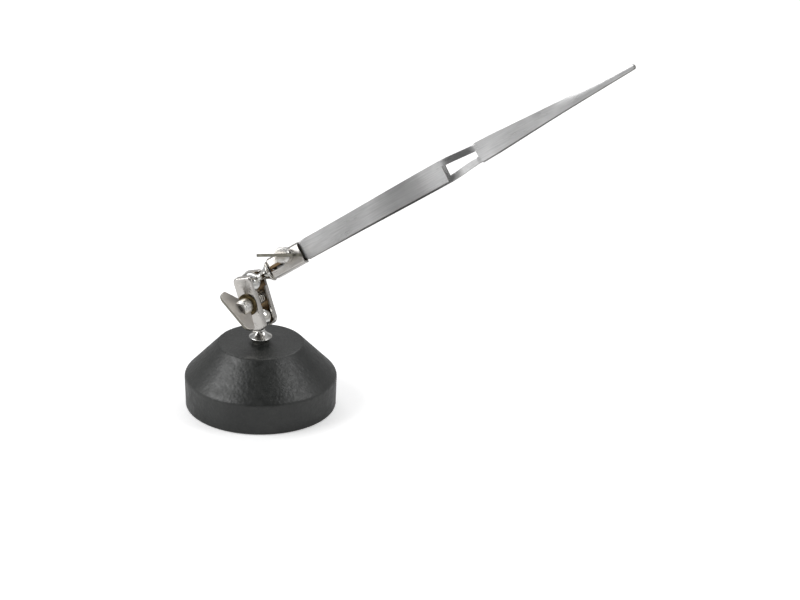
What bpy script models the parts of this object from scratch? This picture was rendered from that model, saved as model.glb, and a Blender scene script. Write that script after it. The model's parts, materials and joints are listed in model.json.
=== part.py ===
"""Bench third hand: a cast base, a double-ball clamp and cross-locking tweezers in a small holder.

Metres, +Z up. The origin is the centre of the base's underside, -Y is the front and the tweezers reach
out towards +X. Lengths below are in millimetres and become metres through MM.
"""
import math

import bmesh
import bpy
from mathutils import Matrix, Vector

MM = 0.001
GAP = 0.1                      # clearance between neighbouring pieces

# Base casting
BASE_RIM_R = 30.5
BASE_FOOT_R = 30.05
BASE_TOP_R = 17.9
BASE_H = 27.3
BASE_RIM_Z = 12.2
COUNTERBORE_R = 9.0
COUNTERBORE_H = 6.5
STUD_THREAD_R = 2.5

# Ball studs, measured along the stud from the ball's centre
BALL_R = 4.3
NECK_R = 1.6
NECK_END = 4.6
BASE_FLARE_END = 8.2
ARM_FLARE_END = 9.6
BASE_FLANGE_R = 4.65
ARM_FLANGE_R = 4.25
FLANGE_EDGE = 0.3
FLANGE_FOOT_R = 3.3
BASE_BALL_Z = 38.2

# Double-ball clamp, in a frame with Z from ball to ball and Y along its screw
BALL_SPACING = 14.8
PLATE_HALF_W = 4.65
PLATE_LOW_END = 4.4            # from the lower ball's centre to the end of the plate
PLATE_HIGH_END = 3.8           # from the upper ball's centre to the other end
PLATE_LOW_CORNER = 3.0
PLATE_HIGH_CORNER = 2.2
PLATE_FACE_Y = 5.5
SHEET = 0.8
FRONT_LIP_Y = 3.2              # half the gap between the side lips
REAR_LIP_Y = 2.6
NECK_LIP_Y = 3.95              # the same beside the upper stud's neck
NECK_ZONE = 2.9                # below the upper ball's centre
HOOD_Y = 2.6                   # half the gap between the end hoods
HOOD_LOW_START = 3.5           # from a ball's centre towards its end of the plate
HOOD_HIGH_START = 3.1
SCREW_R = 1.5
CLAMP_TURN = math.radians(-33.0)
CLAMP_LEAN = math.radians(-19.3)
CLAMP_NUT_TURN = math.radians(-30.0)
CLAMP_WASHER_R = 4.5
CLAMP_WASHER_TOP = 0.7

# Butterfly thumb pieces, with heights above the face that they sit on
HUB_R = 3.3
HUB_H = 5.9
HUB_STEP_R = 3.0
HUB_SLOT_FROM = 2.2
BLADE_T = 1.2
BLADE_H = 10.7
BLADE_HALF_SPAN = 9.75

# Arm: X along the upper stud and the tweezers, Z across the tweezers' width, -Y the face with the screw
ARM_TURN = math.radians(-6.7)
ARM_RISE = math.radians(-33.6)
ARM_ROLL = math.radians(-28.0)
SLEEVE_FROM = 10.5
SLEEVE_TO = 25.5
SLEEVE_MID_Z = 0.5
SLEEVE_HALF_W = 4.45
SLEEVE_HALF_T = 2.6
SLEEVE_SHEET = 0.75
SEAM_W = 1.1
SEAM_TO = 17.6
SEAM_MID_Z = -0.45
HOLDER_SCREW_X = 19.65
HOLDER_SCREW_Z = 2.15
BOSS_R = 3.2
BOSS_TOP = 1.1
PAD_T = 0.9
PAD_Y = -0.35                  # the pad's face on the tweezers' side
HOLDER_BLADE_TURN = math.radians(-26.8)

# Tweezers, with distances from the upper ball's centre
ARM_T = 0.8
ARM_MID_Y = 0.7
ARM_MID_Z = 0.85
TAIL_HALF_W = 3.1
TAIL_X = 13.0
RIVET_X = 15.5
RIVET_R = 0.9
WINDOW_FROM = 94.8
WINDOW_TO = 110.2
TAPER_FROM = 120.0
TIP_X = 185.3
STRIP_W = 2.7

MAIN = "third_hand"


def clear_scene():
    for obj in list(bpy.data.objects):
        bpy.data.objects.remove(obj, do_unlink=True)


def collection(name):
    made = bpy.data.collections.new(name)
    bpy.context.scene.collection.children.link(made)
    return made


def material(name, colour, metallic, roughness):
    made = bpy.data.materials.new(name)
    made.use_nodes = True
    shader = made.node_tree.nodes["Principled BSDF"]
    shader.inputs["Base Color"].default_value = (*colour, 1.0)
    shader.inputs["Metallic"].default_value = metallic
    shader.inputs["Roughness"].default_value = roughness
    return made


def put(obj, parent, location=(0, 0, 0), rotation=(0, 0, 0)):
    """Parent an object and place it in its parent's frame; the location is in millimetres."""
    obj.parent = parent
    obj.location = Vector(location) * MM
    obj.rotation_euler = rotation
    return obj


def axis_frame(name, parent, location, rotation=(0, 0, 0)):
    empty = bpy.data.objects.new(name, None)
    empty.empty_display_size = 4 * MM
    PARTS.objects.link(empty)
    return put(empty, parent, location, rotation)


def link(obj, mat):
    """Show a piece in its material; without one it is a cutter, which is kept out of the render."""
    if mat:
        PARTS.objects.link(obj)
        obj.data.materials.append(mat)
    else:
        CUTTERS.objects.link(obj)
        obj.hide_render = True
        obj.display_type = "WIRE"
    return obj


def mesh_object(name, bm, mat):
    mesh = bpy.data.meshes.new(name)
    bmesh.ops.recalc_face_normals(bm, faces=bm.faces)
    bm.to_mesh(mesh)
    bm.free()
    return link(bpy.data.objects.new(name, mesh), mat)


def arc(centre, radius, start, end, steps):
    """Points on an arc, by angle in degrees from +X (or the first axis) towards the second axis."""
    points = []
    for i in range(steps + 1):
        a = math.radians(start + (end - start) * i / steps)
        points.append((centre[0] + radius * math.cos(a), centre[1] + radius * math.sin(a)))
    return points


def rounded(corners, steps=5):
    """A closed outline from (x, y, corner radius), each corner turned into an arc."""
    points = []
    count = len(corners)
    for i, (x, y, radius) in enumerate(corners):
        here = Vector((x, y))
        if radius <= 0:
            points.append((x, y))
            continue
        back = (Vector(corners[i - 1][:2]) - here).normalized()
        ahead = (Vector(corners[(i + 1) % count][:2]) - here).normalized()
        half = back.angle(ahead) / 2
        centre = here + (back + ahead).normalized() * (radius / math.sin(half))
        first = here + back * (radius / math.tan(half)) - centre
        last = here + ahead * (radius / math.tan(half)) - centre
        for k in range(steps + 1):
            point = centre + first.slerp(last, k / steps) * radius
            points.append((point.x, point.y))
    return points


def turned(name, profile, mat, steps=28, closed=False):
    """A turned piece about its Z axis from a profile of (radius, height) that runs down its outer side."""
    bm = bmesh.new()
    verts = [bm.verts.new((r * MM, 0, z * MM)) for r, z in profile]
    for a, b in zip(verts, verts[1:]):
        bm.edges.new((a, b))
    if closed:
        bm.edges.new((verts[-1], verts[0]))
    mesh = bpy.data.meshes.new(name)
    bm.to_mesh(mesh)
    bm.free()
    obj = bpy.data.objects.new(name, mesh)
    screw = obj.modifiers.new("turn", "SCREW")
    screw.axis = "Z"
    screw.steps = steps
    screw.render_steps = steps
    screw.use_merge_vertices = True
    screw.merge_threshold = 1e-6
    screw.use_smooth_shade = True
    return link(obj, mat)


def flat(name, outline, thickness, mat):
    """A flat piece as a mesh: an outline in X and Y, centred on its mid-plane, thickness along Z."""
    curve = bpy.data.curves.new(name, "CURVE")
    curve.dimensions = "2D"
    curve.fill_mode = "BOTH"
    curve.extrude = thickness * MM / 2
    spline = curve.splines.new("POLY")
    spline.points.add(len(outline) - 1)
    for point, (x, y) in zip(spline.points, outline):
        point.co = (x * MM, y * MM, 0, 1)
    spline.use_cyclic_u = True
    guide = bpy.data.objects.new(name + "_outline", curve)
    PARTS.objects.link(guide)
    graph = bpy.context.evaluated_depsgraph_get()
    mesh = bpy.data.meshes.new_from_object(guide.evaluated_get(graph))
    bpy.data.objects.remove(guide)
    bm = bmesh.new()
    bm.from_mesh(mesh)
    bpy.data.meshes.remove(mesh)
    bmesh.ops.remove_doubles(bm, verts=bm.verts, dist=1e-6)
    return mesh_object(name, bm, mat)


def block(name, low, high, mat=None, edge_round=0.0):
    """A box between two corners; its edges along X can be rounded."""
    bm = bmesh.new()
    bmesh.ops.create_cube(bm, size=1.0)
    low, high = Vector(low) * MM, Vector(high) * MM
    bmesh.ops.scale(bm, vec=high - low, verts=bm.verts)
    bmesh.ops.translate(bm, vec=(high + low) / 2, verts=bm.verts)
    if edge_round:
        edges = [e for e in bm.edges if abs((e.verts[1].co - e.verts[0].co).normalized().x) > 0.9]
        bmesh.ops.bevel(bm, geom=edges, offset=edge_round * MM, segments=3, profile=0.5, affect="EDGES")
    return mesh_object(name, bm, mat)


def rod(name, radius, low, high, mat=None, steps=24):
    """A plain cylinder along its own Z."""
    profile = [(0, high), (radius, high), (radius, low), (0, low)]
    return turned(name, profile, mat, steps)


def cut(target, cutter):
    boolean = target.modifiers.new("cut_" + cutter.name, "BOOLEAN")
    boolean.operation = "DIFFERENCE"
    boolean.solver = "EXACT"
    boolean.object = cutter


# Base ---------------------------------------------------------------------------------------------

def make_base():
    """The casting: flat top, cone, rounded rim, a slightly tapered side and a counterbore for the nut."""
    slope = math.degrees(math.atan2(BASE_H - BASE_RIM_Z, BASE_RIM_R - BASE_TOP_R))
    rim = arc((BASE_RIM_R - 2.2, BASE_RIM_Z), 2.2, 90 - slope, 0, 4)
    top = arc((BASE_TOP_R - 1.4, BASE_H - 1.4), 1.4, 90, 90 - slope, 3)
    foot = arc((BASE_FOOT_R - 0.8, 0.8), 0.8, 0, -90, 3)
    hole_r = STUD_THREAD_R + 0.2
    profile = [(hole_r, BASE_H), *top, *rim, *foot]
    profile += [(COUNTERBORE_R, 0), (COUNTERBORE_R, COUNTERBORE_H), (hole_r, COUNTERBORE_H)]
    base = turned("base_casting", profile, BLACK_PAINT, steps=72, closed=True)
    return put(base, None)


def stud_profile(flare_end, flange_r, foot, tail):
    """A ball stud pointing down from its ball: ball, neck, trumpet flange and foot, then its tail."""
    start = math.degrees(math.acos(NECK_R / BALL_R))
    points = arc((0, 0), BALL_R, 90, -start, 14)
    points[0] = (0, BALL_R)
    steps = 6
    for i in range(steps + 1):
        along = i / steps
        radius = NECK_R + (flange_r - 0.1 - NECK_R) * along ** 2.2
        points.append((radius, -NECK_END - (flare_end - NECK_END) * along))
    rim = flare_end + FLANGE_EDGE
    points += [(flange_r, -rim), (flange_r - FLANGE_EDGE, -rim - FLANGE_EDGE)]
    points += [(FLANGE_FOOT_R, -foot + 0.1), (FLANGE_FOOT_R, -foot)]
    return points + [(r, -h) for r, h in tail]


def make_base_stud(frame):
    """The base's stud: its shank passes through the casting and ends flush with the underside."""
    end = BASE_BALL_Z
    top = BASE_BALL_Z - BASE_H
    tail = [(STUD_THREAD_R, top - GAP), (STUD_THREAD_R, end - 0.5)]
    tail += [(STUD_THREAD_R - 0.5, end), (0, end)]
    profile = stud_profile(BASE_FLARE_END, BASE_FLANGE_R, top - GAP, tail)
    stud = turned("base_ball_stud", profile, CHROME, steps=28)
    return put(stud, frame)


def ring(name, inner, outer, low, high, mat, steps=24):
    profile = [(inner, high), (outer, high), (outer, low), (inner, low)]
    return turned(name, profile, mat, steps, closed=True)


def make_base_nut(frame):
    """Washer against the counterbore's roof, and a hexagon nut under it."""
    washer_low = COUNTERBORE_H - 1.1
    bore_r = STUD_THREAD_R + 0.15
    washer = ring("base_stud_washer", bore_r, 5.0, washer_low, COUNTERBORE_H - GAP, STEEL)
    put(washer, None)
    across = 4.0 / math.cos(math.radians(30))
    outline = arc((0, 0), across, 0, 300, 5)
    height = 4.0
    nut = flat("base_stud_nut", outline, height, STEEL)
    put(nut, frame, (0, 0, washer_low - GAP - height / 2 - BASE_BALL_Z))
    bore = rod("base_nut_bore", bore_r, -height, height)
    put(bore, nut)
    cut(nut, bore)


# Clamp --------------------------------------------------------------------------------------------

def plate_outline(inset):
    """Outline of a plate, inset all round: X across, Y from the lower ball (0) to the upper ball."""
    x = PLATE_HALF_W - inset
    low, low_r = inset - PLATE_LOW_END, PLATE_LOW_CORNER - inset
    high, high_r = BALL_SPACING + PLATE_HIGH_END - inset, PLATE_HIGH_CORNER - inset
    return rounded([(x, low, low_r), (x, high, high_r), (-x, high, high_r), (-x, low, low_r)])


def make_plate(name, frame, half_turn, lip_y):
    """A stamped tray with a flat face, side lips, and deeper hoods round the two balls."""
    depth = PLATE_FACE_Y - HOOD_Y
    plate = flat(name, plate_outline(0), depth, NICKEL)
    bm = bmesh.new()
    bm.from_mesh(plate.data)
    face = [e for e in bm.edges if all(v.co.z > 0 for v in e.verts) and e.calc_face_angle(0) > 1.0]
    bmesh.ops.bevel(bm, geom=face, offset=0.9 * MM, segments=3, profile=0.5, affect="EDGES")
    bm.to_mesh(plate.data)
    bm.free()
    put(plate, frame, (0, 0, 0), (math.radians(90), 0, half_turn))
    plate.data.transform(Matrix.Translation((0, 0, (HOOD_Y + depth / 2) * MM)))
    hollow_to = PLATE_FACE_Y - SHEET
    hollow = flat(name + "_hollow", plate_outline(SHEET), hollow_to, None)
    put(hollow, plate, (0, 0, hollow_to / 2))
    top = BALL_SPACING + HOOD_HIGH_START
    side = block(name + "_side", (-8, -HOOD_LOW_START, 0), (8, top, lip_y))
    put(side, plate)
    neck = block(name + "_neck", (-8, BALL_SPACING - NECK_ZONE, 0), (8, top - 0.01, NECK_LIP_Y))
    put(neck, plate)
    hole = rod(name + "_hole", SCREW_R + 0.2, 3, 8)
    put(hole, plate, (0, BALL_SPACING / 2, 0))
    seat_profile = arc((0, 0), BALL_R + GAP, 90, -90, 18)
    seat_profile[0] = (0, BALL_R + GAP)
    seat_profile[-1] = (0, -BALL_R - GAP)
    seat = turned(name + "_seat", seat_profile, None, steps=48)
    put(seat, plate, (0, BALL_SPACING, 0))
    for cutter in (hollow, side, neck, hole, seat):
        cut(plate, cutter)
    return plate


def make_clamp_screw(frame):
    """Domed head behind the rear plate and a shank that reaches into the butterfly nut."""
    seat = PLATE_FACE_Y + GAP
    head = arc((0, seat - 1.4), 3.4, 90, 29, 4)
    head[0] = (0, seat + 2.0)
    end = -(PLATE_FACE_Y + 4.6)
    shank = [(head[-1][0], seat), (SCREW_R, seat), (SCREW_R, end + 0.4), (SCREW_R - 0.4, end), (0, end)]
    screw = turned("clamp_screw", head + shank, STEEL, steps=20)
    return put(screw, frame, (0, 0, BALL_SPACING / 2), (math.radians(-90), 0, 0))


def make_clamp_spring(frame):
    """Open coil round the screw between the two plates' inner faces."""
    wire = 0.35
    half = PLATE_FACE_Y - SHEET - wire - GAP
    turns = 6.5
    radius = 2.4
    count = int(turns * 12)
    curve = bpy.data.curves.new("clamp_spring", "CURVE")
    curve.dimensions = "3D"
    curve.bevel_depth = wire * MM
    curve.bevel_resolution = 1
    curve.use_fill_caps = True
    spline = curve.splines.new("POLY")
    spline.points.add(count)
    for i, point in enumerate(spline.points):
        angle = 2 * math.pi * turns * i / count
        along = -half + 2 * half * i / count
        point.co = (radius * math.cos(angle) * MM, radius * math.sin(angle) * MM, along * MM, 1)
    spring = bpy.data.objects.new("clamp_spring", curve)
    curve.materials.append(STEEL)
    PARTS.objects.link(spring)
    return put(spring, frame, (0, 0, BALL_SPACING / 2), (math.radians(90), 0, 0))


def hub_profile(from_h):
    """Side of a butterfly hub, top to bottom, with its bore."""
    bore = SCREW_R + 0.2
    top = [(bore, HUB_H), (HUB_STEP_R - 0.4, HUB_H), (HUB_STEP_R, HUB_H - 0.3), (HUB_STEP_R, HUB_H - 0.8)]
    side = [(HUB_R - 0.1, HUB_H - 1.0), (HUB_R, HUB_H - 1.4), (HUB_R, from_h + 0.4)]
    return top + side + [(HUB_R - 0.4, from_h), (bore, from_h)]


def blade_outline(notch_h):
    """Butterfly blade in X (span) and Y (height), with a straight outer edge and a notch for the screw."""
    inner = HUB_SLOT_FROM + GAP
    notch_w = SCREW_R + 0.3
    right = [(notch_w, inner, 0), (3.7, inner, 0.6), (BLADE_HALF_SPAN, 6.5, 1.2)]
    right.append((BLADE_HALF_SPAN - 0.8, BLADE_H, 3.0))
    left = [(-x, y, r) for x, y, r in reversed(right)]
    return rounded(right + left + [(-notch_w, notch_h, 0), (notch_w, notch_h, 0)], 3)


def slot_hub(hub):
    """Cut the blade's slot across a hub; the blade lies in the hub's XZ plane."""
    half = BLADE_T / 2 + GAP
    slot = block(hub.name + "_slot", (-5, -half, HUB_SLOT_FROM), (5, half, HUB_H + 1))
    put(slot, hub)
    cut(hub, slot)


def make_clamp_nut(frame):
    """Washer, hub and blade; the frame's Z axis points away from the front plate."""
    washer = ring("clamp_washer", SCREW_R + 0.2, CLAMP_WASHER_R, GAP, CLAMP_WASHER_TOP, BRONZE)
    put(washer, frame)
    hub = turned("clamp_nut_hub", hub_profile(CLAMP_WASHER_TOP + GAP), STEEL, steps=24, closed=True)
    put(hub, frame)
    slot_hub(hub)
    blade = flat("clamp_nut_blade", blade_outline(5.1), BLADE_T, STEEL)
    put(blade, hub, (0, 0, 0), (math.radians(90), 0, 0))


# Arm ----------------------------------------------------------------------------------------------

def make_arm_stud(frame):
    """The upper stud, whose tail passes through the sleeve's end wall and is riveted over inside."""
    wall = SLEEVE_FROM + SLEEVE_SHEET
    foot = SLEEVE_FROM - GAP
    tail = [(1.2, foot), (1.2, wall + GAP), (1.6, wall + GAP), (1.3, wall + 0.7), (0, wall + 0.8)]
    profile = stud_profile(ARM_FLARE_END, ARM_FLANGE_R, foot, tail)
    stud = turned("arm_ball_stud", profile, CHROME, steps=28)
    return put(stud, frame, (0, 0, 0), (0, math.radians(-90), 0))


def make_sleeve(frame):
    """Folded sheet sleeve, closed at the stud, open at its mouth, with the fold's seam in its face."""
    low = (SLEEVE_FROM, -SLEEVE_HALF_T, SLEEVE_MID_Z - SLEEVE_HALF_W)
    high = (SLEEVE_TO, SLEEVE_HALF_T, SLEEVE_MID_Z + SLEEVE_HALF_W)
    sleeve = block("holder_sleeve", low, high, NICKEL, edge_round=0.9)
    put(sleeve, frame)
    sheet = SLEEVE_SHEET
    inside = block("sleeve_inside", (low[0] + sheet, low[1] + sheet, low[2] + sheet),
                   (high[0] + 3, high[1] - sheet, high[2] - sheet))
    put(inside, frame)
    seam = block("sleeve_seam", (SLEEVE_FROM + 0.3, -4, SEAM_MID_Z - SEAM_W / 2),
                 (SEAM_TO, -1.8, SEAM_MID_Z + SEAM_W / 2))
    put(seam, frame)
    screw_hole = rod("sleeve_screw_hole", SCREW_R + 0.2, 1, 4)
    put(screw_hole, frame, (HOLDER_SCREW_X, 0, HOLDER_SCREW_Z), (math.radians(90), 0, 0))
    stud_hole = rod("sleeve_stud_hole", 1.2 + GAP, SLEEVE_FROM - 1, SLEEVE_FROM + 1.5)
    put(stud_hole, frame, (0, 0, 0), (0, math.radians(90), 0))
    for cutter in (inside, seam, screw_hole, stud_hole):
        cut(sleeve, cutter)


def make_holder_screw(frame):
    """Threaded boss, slotted hub with its shank, and blade; the frame's Z axis points out of the face."""
    boss = ring("holder_nut", SCREW_R + 0.15, BOSS_R, GAP, BOSS_TOP, NICKEL)
    put(boss, frame)
    tip = -(SLEEVE_HALF_T + PAD_Y) + PAD_T + GAP
    profile = hub_profile(BOSS_TOP + GAP)[:-1]
    profile[0] = (0, HUB_H)
    profile += [(SCREW_R, BOSS_TOP + GAP), (SCREW_R, tip + 0.3), (SCREW_R - 0.3, tip), (0, tip)]
    screw = turned("holder_screw", profile, STEEL, steps=24)
    put(screw, frame)
    slot_hub(screw)
    blade = flat("holder_screw_blade", blade_outline(HUB_SLOT_FROM + GAP + 0.01), BLADE_T, STEEL)
    put(blade, screw, (0, 0, 0), (math.radians(90), 0, 0))


def make_holder_pad(frame):
    """Round pressure pad between the screw's end and the tweezers; the frame's Z points out of the face."""
    back = -(SLEEVE_HALF_T + PAD_Y)
    profile = [(0, back + PAD_T), (1.55, back + PAD_T), (1.7, back + PAD_T - 0.15), (1.7, back), (0, back)]
    pad = turned("holder_screw_pad", profile, BRASS, steps=20)
    put(pad, frame)


# Tweezers -----------------------------------------------------------------------------------------

def blend(value, start, end):
    """Smooth step from 0 to 1 between start and end."""
    t = min(1.0, max(0.0, (value - start) / (end - start)))
    return t * t * (3 - 2 * t)


def arm_half_width(x):
    """Half the arm's width: narrow tail, widening grip, then a long taper to the tip."""
    if x < WINDOW_FROM:
        grip = 4.2 + 0.45 * blend(x, 45, WINDOW_FROM)
        return TAIL_HALF_W + (grip - TAIL_HALF_W) * blend(x, SLEEVE_TO + 0.2, SLEEVE_TO + 2.2)
    if x < TAPER_FROM:
        return 4.65 - 0.75 * (x - WINDOW_FROM) / (TAPER_FROM - WINDOW_FROM)
    along = (x - TAPER_FROM) / (TIP_X - TAPER_FROM)
    return 3.9 - 2.95 * along - 0.2 * math.sin(math.pi * along)


def arm_offset(x):
    """Distance of an arm's middle from the tweezers' mid-plane; it changes sign at the crossing."""
    closed = (ARM_T + GAP) / 2
    if x < WINDOW_FROM:
        straight = closed + 0.016 * max(0.0, x - RIVET_X)
        return straight + (2.2 - straight) * blend(x, SLEEVE_TO + 1, 72)
    if x < WINDOW_TO:
        return 2.2 - 3.7 * blend(x, WINDOW_FROM, WINDOW_TO)
    return -1.5 + (1.5 - closed) * blend(x, WINDOW_TO - 30, TIP_X + 10)


def arm_stations():
    """Places along the arm, closer together where it bends."""
    tail = [TAIL_X, TAIL_X + 1, TAIL_X + 5, SLEEVE_TO, SLEEVE_TO + 1.2, SLEEVE_TO + 2.4]
    grip = [32 + 5.2 * i for i in range(12)]
    window = [WINDOW_FROM + (WINDOW_TO - WINDOW_FROM) * i / 8 for i in range(9)]
    jaw = [WINDOW_TO + (TIP_X - 1.2 - WINDOW_TO) * i / 12 for i in range(1, 13)]
    return tail + grip + window + jaw + [TIP_X]


def make_tweezer_arm(name, frame, side):
    """One arm as a bent sheet; side is 1 for the arm that starts in front, -1 for the other."""
    bm = bmesh.new()
    rows = []
    stations = arm_stations()
    for x in stations:
        half = arm_half_width(x)
        if x == stations[0]:
            half -= 1.0
        if x == stations[-1]:
            half *= 0.6
        inner = half - STRIP_W if WINDOW_FROM - 1 < x < WINDOW_TO + 1 else 0.0
        y = ARM_MID_Y - side * arm_offset(x)
        row = [ARM_MID_Z - side * half, ARM_MID_Z + side * inner, ARM_MID_Z + side * half]
        rows.append([bm.verts.new((x * MM, y * MM, z * MM)) for z in row])
    for x, a, b in zip(stations, rows, rows[1:]):
        if not WINDOW_FROM - 0.1 <= x < WINDOW_TO - 0.1:
            bm.faces.new((a[0], b[0], b[1], a[1]))
        bm.faces.new((a[1], b[1], b[2], a[2]))
    loose = [v for v in bm.verts if not v.link_faces]
    bmesh.ops.delete(bm, geom=loose, context="VERTS")
    arm = mesh_object(name, bm, BRUSHED)
    sheet = arm.modifiers.new("sheet", "SOLIDIFY")
    sheet.thickness = ARM_T * MM
    sheet.offset = 0
    sheet.use_even_offset = True
    put(arm, frame)
    hole = rod(name + "_hole", RIVET_R + GAP, -4, 4, steps=16)
    put(hole, frame, (RIVET_X, 0, ARM_MID_Z), (math.radians(90), 0, 0))
    cut(arm, hole)
    return arm


def make_rivet(frame):
    """Flush rivet through both tails."""
    reach = ARM_T + GAP / 2 - 0.05
    rivet = rod("tweezer_tail_rivet", RIVET_R, -reach, reach, STEEL, steps=16)
    put(rivet, frame, (RIVET_X, ARM_MID_Y, ARM_MID_Z), (math.radians(90), 0, 0))


clear_scene()
PARTS = collection(MAIN)
CUTTERS = collection("cutters")
BLACK_PAINT = material("black_paint", (0.045, 0.047, 0.045), 0.0, 0.45)
CHROME = material("chrome", (0.80, 0.80, 0.78), 1.0, 0.08)
NICKEL = material("nickel_plate", (0.62, 0.61, 0.58), 1.0, 0.28)
STEEL = material("polished_steel", (0.66, 0.65, 0.62), 1.0, 0.16)
BRUSHED = material("brushed_stainless", (0.60, 0.60, 0.59), 1.0, 0.32)
BRASS = material("brass", (0.70, 0.55, 0.28), 1.0, 0.3)
BRONZE = material("dark_bronze", (0.20, 0.13, 0.07), 1.0, 0.4)

make_base()
stud_frame = axis_frame("base_swivel_axis", None, (0, 0, BASE_BALL_Z))
make_base_stud(stud_frame)
make_base_nut(stud_frame)

clamp_frame = axis_frame("clamp_tilt_axis", stud_frame, (0, 0, 0), (0, CLAMP_LEAN, CLAMP_TURN))
make_plate("clamp_plate_front", clamp_frame, 0, FRONT_LIP_Y)
make_plate("clamp_plate_rear", clamp_frame, math.pi, REAR_LIP_Y)
make_clamp_screw(clamp_frame)
make_clamp_spring(clamp_frame)
nut_seat = axis_frame("clamp_nut_seat", clamp_frame, (0, -PLATE_FACE_Y, BALL_SPACING / 2),
                      (math.radians(90), 0, 0))
nut_frame = axis_frame("clamp_nut_axis", nut_seat, (0, 0, 0), (0, 0, math.radians(90) - CLAMP_NUT_TURN))
make_clamp_nut(nut_frame)

upper_ball = clamp_frame.rotation_euler.to_matrix() @ Vector((0, 0, BALL_SPACING))
arm_frame = axis_frame("arm_axis", stud_frame, upper_ball, (ARM_ROLL, ARM_RISE, ARM_TURN))
make_arm_stud(arm_frame)
make_sleeve(arm_frame)
screw_seat = axis_frame("holder_screw_seat", arm_frame, (HOLDER_SCREW_X, -SLEEVE_HALF_T, HOLDER_SCREW_Z),
                        (math.radians(90), 0, 0))
make_holder_pad(screw_seat)
screw_frame = axis_frame("holder_screw_axis", screw_seat, (0, 0, 0), (0, 0, HOLDER_BLADE_TURN))
make_holder_screw(screw_frame)
make_tweezer_arm("tweezer_arm_front", arm_frame, 1)
make_tweezer_arm("tweezer_arm_rear", arm_frame, -1)
make_rivet(arm_frame)
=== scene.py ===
"""Looks of the bench third hand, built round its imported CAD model.

Metres, in the CAD's frame. Lengths inside the shape functions are millimetres in a piece's own frame,
and become metres through MM. Frames and seats come from the CAD's joints and nodes.
"""
import json
import math

import bmesh
import bpy
from mathutils import Matrix, Vector


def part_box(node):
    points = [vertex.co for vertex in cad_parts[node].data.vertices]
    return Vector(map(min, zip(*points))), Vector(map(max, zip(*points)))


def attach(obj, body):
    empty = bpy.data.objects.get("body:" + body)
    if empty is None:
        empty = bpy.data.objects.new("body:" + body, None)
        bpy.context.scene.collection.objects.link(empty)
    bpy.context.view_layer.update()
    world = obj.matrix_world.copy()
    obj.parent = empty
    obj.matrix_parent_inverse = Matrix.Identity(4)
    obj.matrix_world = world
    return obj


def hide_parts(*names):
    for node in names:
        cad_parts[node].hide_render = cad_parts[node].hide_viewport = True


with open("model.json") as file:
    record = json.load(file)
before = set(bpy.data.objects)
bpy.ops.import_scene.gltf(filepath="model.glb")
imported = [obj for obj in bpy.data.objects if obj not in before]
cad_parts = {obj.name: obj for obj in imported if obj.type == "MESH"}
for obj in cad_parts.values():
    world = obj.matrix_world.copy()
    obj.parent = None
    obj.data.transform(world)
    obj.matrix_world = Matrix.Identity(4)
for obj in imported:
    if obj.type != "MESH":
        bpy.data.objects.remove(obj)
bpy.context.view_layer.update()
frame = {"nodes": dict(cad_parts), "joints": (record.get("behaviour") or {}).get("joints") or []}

MM = 0.001
GAP = 0.1                      # clearance that the CAD leaves between neighbours
CUTTER_STEPS = 48              # sides of a cylinder cutter
JOINTS = {joint["name"]: joint for joint in frame["joints"]}


# Frames -------------------------------------------------------------------------------------------

def joint_point(name):
    return Vector(JOINTS[name]["pos_m"])


def joint_axis(name):
    return Vector(JOINTS[name]["axis"]).normalized()


def frame_matrix(origin, x, y, z):
    made = Matrix.Identity(4)
    for column, axis in enumerate((x, y, z)):
        for row in range(3):
            made[row][column] = axis[row]
    made.translation = origin
    return made


def clamp_frame():
    """Origin at the lower ball, Z to the upper ball, Y along the screw from front to rear."""
    y = joint_axis("clamp_tilt")
    span = joint_point("arm_tilt") - joint_point("clamp_tilt")
    z = (span - y * span.dot(y)).normalized()
    return frame_matrix(joint_point("clamp_tilt"), y.cross(z), y, z)


def arm_frame():
    """Origin at the upper ball, X along the tweezers, -Y out of the sleeve's face."""
    x = joint_axis("arm_roll")
    y = -joint_axis("holder_pad_travel")
    return frame_matrix(joint_point("arm_roll"), x, y, x.cross(y))


def face_frame(base, x, y, z, turn):
    """A frame whose Z points out of a front face (-Y of its base), turned about that Z."""
    return base @ Matrix.Translation(Vector((x, y, z)) * MM) @ Matrix.Rotation(math.radians(90), 4, "X") \
        @ Matrix.Rotation(turn, 4, "Z")


def local_box(node, matrix):
    """Lowest and highest corner of a CAD node in a frame of its own, in millimetres."""
    inverse = matrix.inverted()
    points = [inverse @ v.co / MM for v in frame["nodes"][node].data.vertices]
    low = Vector([min(p[k] for p in points) for k in range(3)])
    high = Vector([max(p[k] for p in points) for k in range(3)])
    return low, high


STUD = Matrix.Translation(joint_point("base_swivel"))
CLAMP = clamp_frame()
ARM = arm_frame()
BALL_SPACING = (CLAMP.inverted() @ joint_point("arm_tilt")).z / MM
ARM_STUD = ARM @ Matrix.Rotation(math.radians(-90), 4, "Y")
SCREW_AXIS = CLAMP @ Matrix.Translation((0, 0, BALL_SPACING / 2 * MM))


# Mesh helpers -------------------------------------------------------------------------------------

def finish_mesh(name, bm, matrix, mats, smooth=38):
    mesh = bpy.data.meshes.new(name)
    bm.to_mesh(mesh)
    bm.free()
    mesh.shade_smooth()
    mesh.set_sharp_from_angle(angle=math.radians(smooth))
    for mat in mats if isinstance(mats, (list, tuple)) else [mats]:
        mesh.materials.append(mat)
    obj = bpy.data.objects.new(name, mesh)
    bpy.context.scene.collection.objects.link(obj)
    obj.matrix_world = matrix
    return obj


def arc(centre, radius, start, end, steps):
    """Points on an arc, angles in degrees."""
    points = []
    for i in range(steps + 1):
        a = math.radians(start + (end - start) * i / steps)
        points.append((centre[0] + radius * math.cos(a), centre[1] + radius * math.sin(a)))
    return points


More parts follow.
